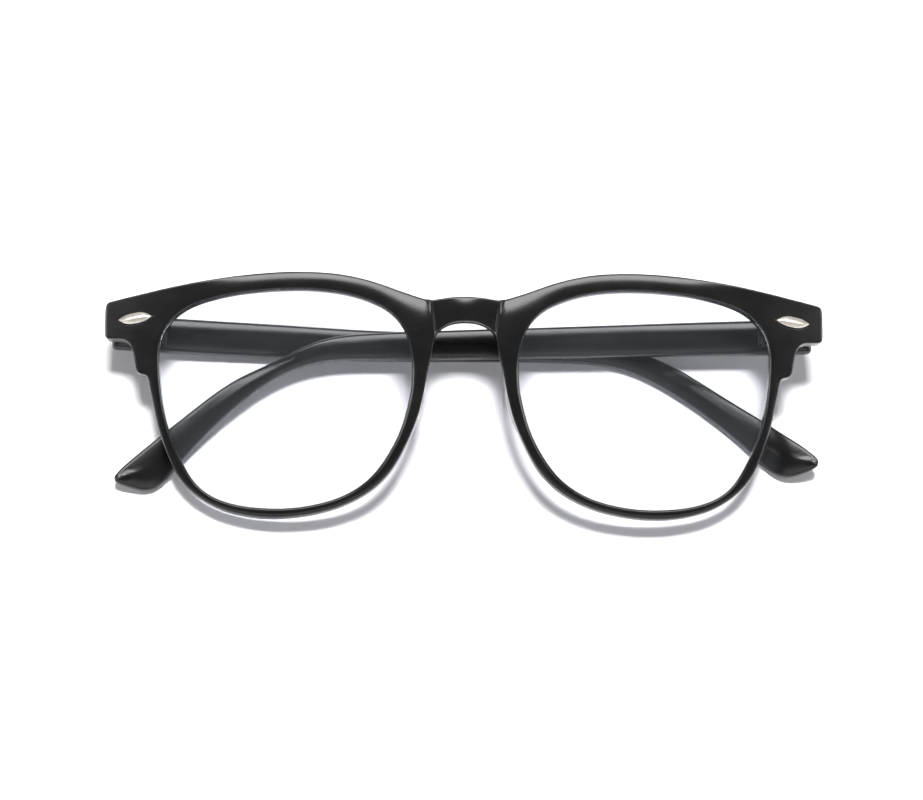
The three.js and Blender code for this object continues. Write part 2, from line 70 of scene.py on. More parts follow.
ARM_BOTTOM = {
    "right": [[-3,-3.6],[4,-3.58],[12.2,-3.52],[20.3,-3.45],[32.6,-3.2],[44.8,-2.78],[57.1,-2.16],[69.3,-1.4],[81.7,-0.72],[89.9,-0.51],[96.1,-0.92],[100.19,-1.82],[104.37,-3.5],[108.43,-5.67],[112.59,-8.26],[116.73,-11.19],[120.85,-14.41],[124.94,-18.1],[126.98,-20.18],[129.02,-22.04],[130.95,-22.92],[132.87,-23.0],[134.79,-22.42],[136.89,-21.49]],
    "left": [[-3,-3.56],[5.1,-3.5],[13.4,-3.41],[21.6,-3.31],[38,-3.15],[54.4,-3.02],[70.7,-2.86],[82.9,-2.62],[91.1,-2.5],[95.1,-2.89],[99.2,-3.88],[103.3,-5.6],[107.4,-8.12],[111.4,-11.2],[115.5,-14.75],[118.6,-17.79],[121.6,-20.9],[124,-23.7],[126.1,-26.2],[127.9,-27.95],[129.7,-28.8],[131.6,-28.81],[133.6,-28.25],[135.6,-27.6]],
}
RIVET_X, RIVET_Y, RIVET_TURN = 66.0, 17.0, -5.0
RIVET_L, RIVET_H = 7.0, 2.15


# ---- placing
def rx(a):
    c, s = math.cos(math.radians(a)), math.sin(math.radians(a))
    return np.array([[1, 0, 0], [0, c, -s], [0, s, c]])


def ry(a):
    c, s = math.cos(math.radians(a)), math.sin(math.radians(a))
    return np.array([[c, 0, s], [0, 1, 0], [-s, 0, c]])


def rz(a):
    c, s = math.cos(math.radians(a)), math.sin(math.radians(a))
    return np.array([[c, -s, 0], [s, c, 0], [0, 0, 1]])


LIE = ry(ROLL) @ rx(TILT)
hinge = next(j for j in frame["record"]["behaviour"]["joints"] if j["name"] == "hinge_left")
SHIFT = np.array(hinge["pos_m"]) * 1000 - LIE @ PIN


def lay(points):
    """Front-frame millimetres to metres on the table."""
    return (np.asarray(points) @ LIE.T + SHIFT) / 1000


def surf(x, y):
    return -x * x / (2 * BOW_R) - y * y / (2 * BOW_V)


def step(x, a, b):
    t = np.clip((x - a) / (b - a), 0, 1)
    return t * t * (3 - 2 * t)


# ---- curves
def catmull(pts, closed=False, n=24):
    p = np.asarray(pts, float)
    if closed:
        p = np.vstack([p[-1], p, p[0], p[1]])
    else:
        p = np.vstack([2 * p[0] - p[1], p, 2 * p[-1] - p[-2]])
    out = []
    for i in range(1, len(p) - 2):
        x0, x1, x2, x3 = p[i - 1], p[i], p[i + 1], p[i + 2]
        d0, d1, d2 = (max(np.linalg.norm(b - a) ** 0.5, 1e-4) for a, b in ((x0, x1), (x1, x2), (x2, x3)))
        t1 = ((x1 - x0) / d0 - (x2 - x0) / (d0 + d1) + (x2 - x1) / d1) * d1
        t2 = ((x2 - x1) / d1 - (x3 - x1) / (d1 + d2) + (x3 - x2) / d2) * d1
        t = np.linspace(0, 1, n, endpoint=False)[:, None]
        out.append(x1 + t1 * t + (-3 * x1 + 3 * x2 - 2 * t1 - t2) * t**2 + (2 * x1 - 2 * x2 + t1 + t2) * t**3)
    if not closed:
        out.append(p[-2][None])
    return np.vstack(out)


def even(p, gap, closed=False):
    q = np.vstack([p, p[:1]]) if closed else p
    s = np.concatenate([[0], np.cumsum(np.linalg.norm(np.diff(q, axis=0), axis=1))])
    n = max(2, int(round(s[-1] / gap)))
    at = np.linspace(0, s[-1], n + 1)
    r = np.stack([np.interp(at, s, q[:, 0]), np.interp(at, s, q[:, 1])], axis=1)
    return r[:-1] if closed else r


def blur(p, sigma, closed=True):
    """Gaussian smoothing along an evenly spaced closed line, sigma in samples."""
    k = int(math.ceil(4 * sigma))
    w = np.exp(-0.5 * (np.arange(-k, k + 1) / sigma) ** 2)
    w /= w.sum()
    out = np.zeros_like(p)
    for j, wj in zip(range(-k, k + 1), w):
        out += wj * np.roll(p, -j, axis=0)
    return out


def soften(p, gap, sigma_mm, mask):
    """Smooths a closed line where mask is 1, and leaves it where it is 0."""
    m = np.clip(blur(mask[:, None] * np.ones((1, 2)), 1.2 / gap), 0, 1)
    a = blur(p, sigma_mm / gap)
    b = blur(p, 0.22 / gap)
    return a * m + b * (1 - m)


def inward(p):
    """Unit normals pointing to the left of travel: into a counter-clockwise loop."""
    t = np.roll(p, -1, axis=0) - np.roll(p, 1, axis=0)
    t /= np.linalg.norm(t, axis=1, keepdims=True)
    return np.stack([-t[:, 1], t[:, 0]], axis=1)


def area(p):
    q = np.roll(p, -1, axis=0)
    return 0.5 * np.sum(p[:, 0] * q[:, 1] - q[:, 0] * p[:, 1])


def distance(points, loop):
    """Distance from each point to a closed line."""
    out = np.empty(len(points))
    nxt, prv = np.roll(loop, -1, axis=0), np.roll(loop, 1, axis=0)
    for a in range(0, len(points), 1500):
        q = points[a:a + 1500]
        i = np.argmin(((q[:, None, :] - loop[None]) ** 2).sum(axis=2), axis=1)
        best = np.full(len(q), 1e9)
        for p0, p1 in ((loop[i], nxt[i]), (prv[i], loop[i])):
            e = p1 - p0
            t = np.clip(((q - p0) * e).sum(axis=1) / np.maximum((e * e).sum(axis=1), 1e-12), 0, 1)
            best = np.minimum(best, np.linalg.norm(q - p0 - e * t[:, None], axis=1))
        out[a:a + 1500] = best
    return out


def inside(points, loop):
    res = np.zeros(len(points), bool)
    x1, y1 = loop[:, 0], loop[:, 1]
    x2, y2 = np.roll(x1, -1), np.roll(y1, -1)
    dy = np.where(np.abs(y2 - y1) < 1e-12, 1e-12, y2 - y1)
    for a in range(0, len(points), 2000):
        q = points[a:a + 2000]
        x, y = q[:, 0][:, None], q[:, 1][:, None]
        hit = ((y1 > y) != (y2 > y)) & (x < (x2 - x1) * (y - y1) / dy + x1)
        res[a:a + 2000] = hit.sum(axis=1) % 2 == 1
    return res


def fillet(d, r):
    d = np.clip(d, 0, r)
    return r - np.sqrt(np.maximum(r * r - (r - d) ** 2, 0))


# ---- meshes
def make(name, verts, faces, material, smooth=True, shift=True):
    me = bpy.data.meshes.new(name)
    me.from_pydata([tuple(v) for v in verts], [], [tuple(int(i) for i in f) for f in faces])
    me.validate()
    if smooth:
        me.polygons.foreach_set("use_smooth", [True] * len(me.polygons))
    me.update()
    ob = bpy.data.objects.new(name, me)
    bpy.context.scene.collection.objects.link(ob)
    me.materials.append(material)
    return ob


def plate(loops, rows, extra, grid, heights, wall=(0.33, 0.67), dense=None):
    """A solid between two height fields over the region inside the first loop and outside the others.
    Returns points (x, y, z) and triangles, facing out. heights(points, distances) gives the top and bottom z."""
    loops = [p if area(p) > 0 else p[::-1] for p in loops]
    pts, own, depth = [], [], []
    chains, start = [], 0
    for k, p in enumerate(loops):
        pts.append(p)
        own.append(np.full(len(p), k))
        depth.append(np.zeros(len(p)))
        chains.append(np.arange(start, start + len(p)))
        start += len(p)
    n_loop = start
    for k, p in enumerate(loops):
        n = inward(p) * (1 if k == 0 else -1)
        for d in rows:
            q = p + n * d
            good = distance(q, p) > 0.985 * d
            for j, other in enumerate(loops):
                if j != k:
                    good &= distance(q, other) > d * 0.6 + 0.1
            q = q[good]
            pts.append(q)
            own.append(np.full(len(q), k))
            depth.append(np.full(len(q), d))
    lo, hi = loops[0].min(axis=0), loops[0].max(axis=0)
    gx, gy = np.meshgrid(np.arange(lo[0], hi[0], grid), np.arange(lo[1], hi[1], grid * 0.866))
    gx = gx + (np.arange(gx.shape[0])[:, None] % 2) * grid * 0.5
    q = np.stack([gx.ravel(), gy.ravel()], axis=1)
    if len(extra):
        ex = np.asarray(extra, float)
        far = np.ones(len(q), bool)
        for a in range(0, len(q), 2000):
            far[a:a + 2000] = ((q[a:a + 2000, None] - ex[None]) ** 2).sum(axis=2).min(axis=1) > (grid * 0.5) ** 2
        q = q[far]
        q = np.vstack([q, ex])
    ok = inside(q, loops[0])
    q = q[ok]
    for p in loops[1:]:
        q = q[~inside(q, p)]
    near = np.full(len(q), 1e9)
    for p in loops:
        near = np.minimum(near, distance(q, p))
    q = q[near > max(rows) + 0.12]
    pts.append(q)
    own.append(np.full(len(q), -1))
    depth.append(np.zeros(len(q)))
    pts, own, depth = np.vstack(pts), np.concatenate(own), np.concatenate(depth)
    edges = [(int(a), int(b)) for c in chains for a, b in zip(c, np.roll(c, -1))]
    vo, _, fo, ov, _, _ = delaunay_2d_cdt([Vector(p) for p in pts], edges, [], 0, 1e-7)
    back = np.array([o[0] if len(o) else -1 for o in ov])
    if (back < 0).any():
        raise SystemExit("outline crosses itself")
    tri = back[np.array([f for f in fo if len(f) == 3])]
    on = (tri < n_loop).all(axis=1)
    cen = pts[tri[on]].mean(axis=1)
    good = inside(cen, loops[0])
    for p in loops[1:]:
        good &= ~inside(cen, p)
    keep = np.ones(len(tri), bool)
    keep[np.where(on)[0][~good]] = False
    tri = tri[keep]
    e1, e2 = pts[tri[:, 1]] - pts[tri[:, 0]], pts[tri[:, 2]] - pts[tri[:, 0]]
    cr = e1[:, 0] * e2[:, 1] - e1[:, 1] * e2[:, 0]
    tri = tri[np.abs(cr) > 1e-9]
    cr = cr[np.abs(cr) > 1e-9]
    tri[cr < 0] = tri[cr < 0][:, ::-1]
    dist = []
    for k, p in enumerate(loops):
        d = distance(pts, p)
        d[own == k] = depth[own == k]
        dist.append(d)
    top, bot = heights(pts, dist)
    n = len(pts)
    verts = [np.column_stack([pts, top]), np.column_stack([pts, bot])]
    faces = [tri, tri[:, ::-1] + n]
    total = 2 * n
    for k, c in enumerate(chains):
        rings = [c]
        for f in wall:
            z = top[c] * (1 - f) + bot[c] * f
            verts.append(np.column_stack([pts[c], z]))
            rings.append(np.arange(total, total + len(c)))
            total += len(c)
        rings.append(c + n)
        for a, b in zip(rings, rings[1:]):
            a1, b1 = np.roll(a, -1), np.roll(b, -1)
            if k == 0:
                faces += [np.column_stack([a, b, b1]), np.column_stack([a, b1, a1])]
            else:
                faces += [np.column_stack([a, b1, b]), np.column_stack([a, a1, b1])]
    return np.vstack(verts), np.vstack(faces)


# ---- materials
def nodes_of(name):
    m = bpy.data.materials.new(name)
    m.use_nodes = True
    nt = m.node_tree
    nt.nodes.clear()
    out = nt.nodes.new("ShaderNodeOutputMaterial")
    return m, nt, out


def ramp(nt, src, lo, hi, a, b):
    r = nt.nodes.new("ShaderNodeMapRange")
    r.inputs["From Min"].default_value = lo
    r.inputs["From Max"].default_value = hi
    r.inputs["To Min"].default_value = a
    r.inputs["To Max"].default_value = b
    nt.links.new(src, r.inputs["Value"])
    return r.outputs["Result"]


def noise(nt, coord, scale, detail=3.0, stretch=(1, 1, 1), turn=(0, 0, 0)):
    mp = nt.nodes.new("ShaderNodeMapping")
    mp.inputs["Scale"].default_value = stretch
    mp.inputs["Rotation"].default_value = turn
    nt.links.new(coord, mp.inputs["Vector"])
    n = nt.nodes.new("ShaderNodeTexNoise")
    n.inputs["Scale"].default_value = scale
    n.inputs["Detail"].default_value = detail
    nt.links.new(mp.outputs["Vector"], n.inputs["Vector"])
    return n.outputs["Fac"]


def mix_colour(nt, fac, a, b):
    m = nt.nodes.new("ShaderNodeMix")
    m.data_type = "RGBA"
    m.inputs["A"].default_value = (*a, 1)
    m.inputs["B"].default_value = (*b, 1)
    nt.links.new(fac, m.inputs["Factor"])
    return m.outputs["Result"]


def math_node(nt, op, a, b):
    m = nt.nodes.new("ShaderNodeMath")
    m.operation = op
    for i, v in enumerate((a, b)):
        if isinstance(v, (int, float)):
            m.inputs[i].default_value = v
        else:
            nt.links.new(v, m.inputs[i])
    return m.outputs[0]


def plastic(name, rough=(0.17, 0.23)):
    """Polished black injection-moulded plastic: faint flow in the colour, hairlines and fine orange peel."""
    m, nt, out = nodes_of(name)
    co = nt.nodes.new("ShaderNodeTexCoord").outputs["Object"]
    b = nt.nodes.new("ShaderNodeBsdfPrincipled")
    cloud = noise(nt, co, 160, 3)
    nt.links.new(mix_colour(nt, ramp(nt, cloud, 0.3, 0.7, 0, 1), (0.0028, 0.0028, 0.0028), (0.0058, 0.0058, 0.0056)), b.inputs["Base Color"])
    smear = noise(nt, co, 90, 4, stretch=(1, 2.2, 1), turn=(0.2, 0.1, 0.7))
    hair = noise(nt, co, 1500, 2, stretch=(0.06, 1.4, 1), turn=(0.1, 0.3, 0.9))
    hair2 = noise(nt, co, 1500, 2, stretch=(1.3, 0.05, 1), turn=(0.3, 0.1, 0.35))
    lines = math_node(nt, "MAXIMUM", ramp(nt, hair, 0.68, 0.74, 0, 1), ramp(nt, hair2, 0.69, 0.75, 0, 1))
    rough_a = ramp(nt, smear, 0.3, 0.75, rough[0], rough[1])
    nt.links.new(math_node(nt, "ADD", rough_a, math_node(nt, "MULTIPLY", lines, 0.06)), b.inputs["Roughness"])
    b.inputs["IOR"].default_value = 1.49
    peel = noise(nt, co, 520, 2)
    bump = nt.nodes.new("ShaderNodeBump")
    bump.inputs["Strength"].default_value = 0.035
    bump.inputs["Distance"].default_value = 0.0002
    nt.links.new(math_node(nt, "SUBTRACT", peel, math_node(nt, "MULTIPLY", lines, 0.25)), bump.inputs["Height"])
    nt.links.new(bump.outputs["Normal"], b.inputs["Normal"])
    nt.links.new(b.outputs["BSDF"], out.inputs["Surface"])
    return m


def metal(name, dark, light, rough, brush=(1, 1, 1), edge=0.00008):
    """Satin metal: fine brushing, duller patches and softened edges that catch the light."""
    m, nt, out = nodes_of(name)
    co = nt.nodes.new("ShaderNodeTexCoord").outputs["Object"]
    b = nt.nodes.new("ShaderNodeBsdfPrincipled")
    b.inputs["Metallic"].default_value = 1.0
    patch = noise(nt, co, 1400, 3)
    nt.links.new(mix_colour(nt, ramp(nt, patch, 0.35, 0.7, 0, 1), dark, light), b.inputs["Base Color"])
    grain = noise(nt, co, 2600, 3, stretch=brush)
    nt.links.new(ramp(nt, math_node(nt, "ADD", math_node(nt, "MULTIPLY", patch, 0.5), math_node(nt, "MULTIPLY", grain, 0.5)), 0.3, 0.7, rough[0], rough[1]), b.inputs["Roughness"])
    bump = nt.nodes.new("ShaderNodeBump")
    bump.inputs["Strength"].default_value = 0.12
    bump.inputs["Distance"].default_value = 0.00005
    nt.links.new(grain, bump.inputs["Height"])
    if edge:
        bev = nt.nodes.new("ShaderNodeBevel")
        bev.inputs["Radius"].default_value = edge
        nt.links.new(bev.outputs["Normal"], bump.inputs["Normal"])
    nt.links.new(bump.outputs["Normal"], b.inputs["Normal"])
    nt.links.new(b.outputs["BSDF"], out.inputs["Surface"])
    return m


def glass(name):
    """Thin clear lens with a coating: it passes light straight through, mirrors a little, and carries faint smears."""
    m, nt, out = nodes_of(name)
    co = nt.nodes.new("ShaderNodeTexCoord").outputs["Object"]
    clear = nt.nodes.new("ShaderNodeBsdfTransparent")
    smear = noise(nt, co, 45, 4, stretch=(1, 1.8, 1), turn=(0.1, 0.2, 0.5))
    nt.links.new(mix_colour(nt, ramp(nt, smear, 0.35, 0.7, 0, 1), (0.992, 0.995, 1.0), (0.985, 0.99, 0.998)), clear.inputs["Color"])
    gloss = nt.nodes.new("ShaderNodeBsdfGlossy")
    nt.links.new(mix_colour(nt, smear, (0.80, 0.88, 1.0), (0.88, 0.93, 1.0)), gloss.inputs["Color"])
    nt.links.new(ramp(nt, smear, 0.3, 0.75, 0.02, 0.08), gloss.inputs["Roughness"])
    # the same mirror strength on both faces, rising toward a grazing look
    facing = nt.nodes.new("ShaderNodeLayerWeight")
    facing.inputs["Blend"].default_value = 0.5
    graze = math_node(nt, "MULTIPLY", math_node(nt, "POWER", facing.outputs["Facing"], 5.0), 0.85)
    mix = nt.nodes.new("ShaderNodeMixShader")
    nt.links.new(math_node(nt, "ADD", graze, ramp(nt, smear, 0.3, 0.75, 0.076, 0.092)), mix.inputs["Fac"])
    nt.links.new(clear.outputs["BSDF"], mix.inputs[1])
    nt.links.new(gloss.outputs["BSDF"], mix.inputs[2])
    nt.links.new(mix.outputs["Shader"], out.inputs["Surface"])
    return m


BLACK = plastic("black_gloss_plastic")
CLEAR = glass("clear_coated_lens")
CHAMPAGNE = metal("champagne_satin", (0.58, 0.55, 0.49), (0.68, 0.65, 0.58), (0.26, 0.36), brush=(0.08, 1.2, 1.2), edge=0)
STEEL = metal("hinge_steel", (0.09, 0.09, 0.095), (0.16, 0.16, 0.165), (0.25, 0.42), brush=(1, 0.15, 1))


# ---- front
half = np.vstack([
    catmull([*BRIDGE_TOP, BROW[0]])[:-1],
    catmull(BROW)[:-1],
    catmull([BROW[-1], *END_PIECE])[:-1],
    catmull([END_PIECE[-1], *RIM, ARCH[0]])[:-1],
    catmull(ARCH),
])
mirror = half[::-1][1:-1] * [-1, 1]
EDGE_GAP = 0.26
outer = even(np.vstack([half, mirror]), EDGE_GAP, closed=True)
ax = np.abs(outer[:, 0])
mask = np.ones(len(outer))
mask[(ax > 62.2) & (outer[:, 1] > 2.2)] = 0
mask[(ax < 8.2) & (outer[:, 1] > 11.8)] = 0.15
outer = soften(outer, EDGE_GAP, 1.0, mask)
outer = (outer + (np.roll(outer[::-1], 1, axis=0)) * [-1, 1]) / 2 if False else outer
aper = even(catmull(APERTURE, closed=True), EDGE_GAP, closed=True)
aper = blur(aper, 1.0 / EDGE_GAP)
apers = [aper, aper[::-1] * [-1, 1]]


def crease_x(y):
    return 5.9 + (y - 13.2) * (1.0 / 7.02)


def oval(l, h, n=14):
    """A pointed oval: two leaning leaves end to end."""
    q = [((-l / 2, 0), (-l * 0.27, h * 0.66), (0, h / 2)), ((0, h / 2), (l * 0.27, h * 0.5), (l / 2, 0)),
         ((l / 2, 0), (l * 0.27, -h * 0.66), (0, -h / 2)), ((0, -h / 2), (-l * 0.27, -h * 0.5), (-l / 2, 0))]
    t = np.linspace(0, 1, n, endpoint=False)[:, None]
    return np.vstack([(1 - t) ** 2 * np.array(a) + 2 * t * (1 - t) * np.array(b) + t**2 * np.array(c) for a, b, c in q])


pocket = even(oval(RIVET_L + 0.5, RIVET_H + 0.5), 0.22, closed=True)
pocket = blur(pocket, 1.0)
pocket = pocket @ rz(RIVET_TURN)[:2, :2].T + [RIVET_X, RIVET_Y]
pocket = pocket if area(pocket) > 0 else pocket[::-1]
extra = []
for side in (1, -1):
    for off in (-0.4, -0.25, -0.15, -0.05, 0.05, 0.15, 0.25, 0.4):
        ys = np.arange(12.8, 21, 0.3)
        extra.append(np.column_stack([side * (crease_x(ys) + off), ys]))
    for off in (-0.3, -0.15, -0.05, 0.05, 0.15, 0.3):
        ys = np.arange(11.5, 23, 0.3)
        extra.append(np.column_stack([np.full(len(ys), side * (62.4 + off)), ys]))
        xs = np.arange(62.4, 67, 0.3)
        extra.append(np.column_stack([side * xs, np.full(len(xs), 11.5 + off)]))
    for off in (-0.16, -0.06, 0.0, 0.1, 0.22):
        extra.append((pocket + inward(pocket) * off) * [side, 1])
extra = np.vstack(extra)


def front_heights(p, dist):
    x, y = p[:, 0], p[:, 1]
    a = np.abs(x)
    do, da = dist[0], np.minimum(dist[1], dist[2])
    z = surf(x, y)
    top = z - fillet(do, 0.3) - fillet(da, 0.42)
    # the brow rolls away along its top edge, widest beside the bridge
    near_nose = 1 - step(a, 8, 20)
    wide = 2.8 + 3.4 * near_nose
    tall = 0.52 + 0.66 * near_nose
    ridge = outer[(outer[:, 1] > 19.9) & (np.abs(outer[:, 0]) < 66)]
    up = np.full(len(p), 99.0)
    high = y > 6
    for i in range(0, high.sum(), 2000):
        at = np.where(high)[0][i:i + 2000]
        up[at] = np.sqrt(((p[at][:, None] - ridge[None]) ** 2).sum(axis=2).min(axis=1))
    brow = (1 - step(a, 40, 60)) * step(a, crease_x(y) - 0.3, crease_x(y) + 1.2)
    top -= brow * tall * np.clip(1 - up / wide, 0, 1) ** 2
    # rounded rims, flat brow and end pieces
    c = (do - da) / np.maximum(do + da, 1e-6)
    rim = 1 - step(y, 6, 12)
    rim = rim * (1 - step(a, 60, 64) * step(y, 0, 4))
    top -= rim * 0.30 * np.clip(np.abs(c), 0, 1) ** 2
    # the bridge saddle
    s = crease_x(y) - a
    sad = step(s, -0.2, 0.2) * step(y, 12, 13.4)
    top -= sad * (0.40 + 0.10 * np.clip((y - 18.2) / 2.7, -1, 1) ** 2 + 0.010 * x * x)
    top -= sad * 0.44 * np.exp(-(x / 3.2) ** 2) * np.clip((y - 17.4) / 3.6, 0, 1) ** 2
    # pocket round the rivet
    q = np.column_stack([a, y])
    near = np.linalg.norm(q - [RIVET_X, RIVET_Y], axis=1) < 5.5
    dp = np.full(len(q), -1.0)
    if near.any():
        d = distance(q[near], pocket)
        dp[near] = np.where(inside(q[near], pocket), d, -d)
    top -= 0.5 * step(dp, -0.02, 0.12)
    deep = step(a, 62.25, 62.55) * step(y, 11.35, 11.65)
    bot = z - RIM_T + fillet(do, 0.35) + fillet(da, 0.35)
    block = JOINT_Z + fillet(do, 0.35) + 0 * z
    bot = bot * (1 - deep) + block * deep
    return top, bot


verts, faces = plate([outer, *apers], (0.023, 0.09, 0.185, 0.3, 0.48), extra, 0.6, front_heights)
front = make("front_shell", lay(verts), faces, BLACK)


def ellipsoid(radii, turn, centre, nu=40, nv=24):
    v, f = [], []
    for i in range(nv + 1):
        th = math.pi * i / nv
        for j in range(nu):
            ph = 2 * math.pi * j / nu
            v.append((radii[0] * math.sin(th) * math.cos(ph), radii[1] * math.cos(th), radii[2] * math.sin(th) * math.sin(ph)))
    for i in range(nv):
        for j in range(nu):
            a, b = i * nu + j, i * nu + (j + 1) % nu
            f.append((a, b, b + nu, a + nu))
    return np.array(v) @ turn.T + centre, f


def boolean(ob, other, kind):
    md = ob.modifiers.new("cut", "BOOLEAN")
    md.operation = kind
    md.object = other
    md.solver = "EXACT"
    bpy.context.view_layer.update()
    me = bpy.data.meshes.new_from_object(ob.evaluated_get(bpy.context.evaluated_depsgraph_get()))
    ob.modifiers.clear()
    old = ob.data
    ob.data = me
    bpy.data.meshes.remove(old)
    bpy.data.objects.remove(other, do_unlink=True)


for side in (1, -1):
    v, f = ellipsoid((1.2, 5.4, 3.4), rz(19.5) @ ry(4), np.array([10.15, -2.2, -4.4]))
    v = v * [side, 1, 1]
    bm = bmesh.new()
    me = bpy.data.meshes.new("pad")
    me.from_pydata([tuple(c) for c in lay(v)], [], f)
    bm.from_mesh(me)
    bmesh.ops.remove_doubles(bm, verts=bm.verts, dist=1e-7)
    bmesh.ops.recalc_face_normals(bm, faces=bm.faces)
    for face in bm.faces:
        face.smooth = True
    bm.to_mesh(me)
    bm.free()
    me.materials.append(BLACK)
    pad = bpy.data.objects.new("pad", me)
    bpy.context.scene.collection.objects.link(pad)
    boolean(front, pad, "UNION")
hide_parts("frame_front")
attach(front, "front")


# ---- lenses
def lens(label):
    side = 1 if label == "left" else -1
    edge = even(aper, 0.5, closed=True)
    edge = edge - inward(edge) * (0.6 if area(edge) > 0 else -0.6)
    c = np.array([36.0, 0.5])
    n, rings = len(edge), 26
    v, f = [np.array([[c[0], c[1], 0.0]])], []
    rad = [(k / rings) ** 0.9 for k in range(1, rings + 1)]
    for r in rad:
        v.append(np.column_stack([c + (edge - c) * r, np.zeros(n)]))
    v = np.vstack(v)
    x, y = v[:, 0], v[:, 1]
    q = np.hypot((x - c[0]) / 26.0, (y - c[1]) / 22.5)
    flat = surf(36, 0) - (x - 36) * 36 / BOW_R
    top = flat + 0.5 * (surf(x, y) - flat) - 0.7 - 0.25 + 0.05 * (1 - np.clip(q, 0, 1) ** 2)
    m = len(v)
    both = np.vstack([np.column_stack([v[:, :2], top]), np.column_stack([v[:, :2], top - 1.5])])
    for j in range(n):
        k = (j + 1) % n
        f.append((0, 1 + j, 1 + k))
        f.append((m, m + 1 + k, m + 1 + j))
        for i in range(rings - 1):
            a, b = 1 + i * n + j, 1 + i * n + k
            f.append((a, a + n, b + n, b))
            f.append((m + a, m + b, m + b + n, m + a + n))
        a, b = 1 + (rings - 1) * n + j, 1 + (rings - 1) * n + k
        f.append((a, m + a, m + b, b))
    both[:, 0] *= side
    flip = (area(edge) < 0) != (side < 0)
    if flip:
        f = [t[::-1] for t in f]
    ob = make("lens_clear_" + label, lay(both), f, CLEAR)
    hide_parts("lens_" + label)
    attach(ob, "front")
    return ob


# ---- rivets
def rivet(label):
    side = 1 if label == "left" else -1
    ring = oval(RIVET_L, RIVET_H, 40)
    xs = np.linspace(-RIVET_L / 2 + 0.01, RIVET_L / 2 - 0.01, 61)
    up = ring[ring[:, 1] >= 0]
    up = up[np.argsort(up[:, 0])]
    dn = ring[ring[:, 1] <= 0]
    dn = dn[np.argsort(dn[:, 0])]
    yt = np.interp(xs, up[:, 0], up[:, 1])
    yb = np.interp(xs, dn[:, 0], dn[:, 1])
    yr = (yt + yb) / 2 - 0.12 * (yt - yb)
    ts = np.concatenate([-np.array([1, 0.97, 0.9, 0.8, 0.65, 0.5, 0.35, 0.2, 0.08]), [0], [0.08, 0.2, 0.35, 0.5, 0.65, 0.8, 0.9, 0.97, 1]])
    v = []
    for x, t, b, r in zip(xs, yt, yb, yr):
        for s in ts:
            y = r + s * (t - r) if s >= 0 else r + s * (r - b)
            hgt = (0.62 * (1 - abs(s) ** 1.3) * (1 - (2 * abs(x) / RIVET_L) ** 2.4) ** 0.8 + 0.12) * (1 - max(0, (abs(s) - 0.9) / 0.1) * 0.12)
            v.append((x, y, hgt))
    n, w = len(xs), len(ts)
    f = []
    for i in range(n - 1):
        for j in range(w - 1):
            f.append((i * w + j, (i + 1) * w + j, (i + 1) * w + j + 1, i * w + j + 1))
    top = np.array(v)
    low = top * [1, 1, 0] + [0, 0, -0.55]
    rim = [i * w for i in range(n)] + [(n - 1) * w + j for j in range(1, w)] + [i * w + w - 1 for i in range(n - 2, -1, -1)] + [j for j in range(w - 2, 0, -1)]
    m = len(top)
    allv = np.vstack([top, low])
    f += [tuple(m + i for i in q[::-1]) for q in list(f)]
    for a, b in zip(rim, rim[1:] + rim[:1]):
        f.append((b, a, m + a, m + b))
    tilt = ry(math.degrees(math.atan(RIVET_X / BOW_R))) @ rx(-math.degrees(math.atan(RIVET_Y / BOW_V))) @ rz(RIVET_TURN)
    pos = np.array([RIVET_X, RIVET_Y, surf(RIVET_X, RIVET_Y) - 0.08])
    allv = allv @ tilt.T + pos
    allv[:, 0] *= side
    if side < 0:
        f = [t[::-1] for t in f]
    ob = make("rivet_leaf_" + label, lay(allv), f, CHAMPAGNE)
    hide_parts("rivet_" + label)
    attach(ob, "front")
    return ob


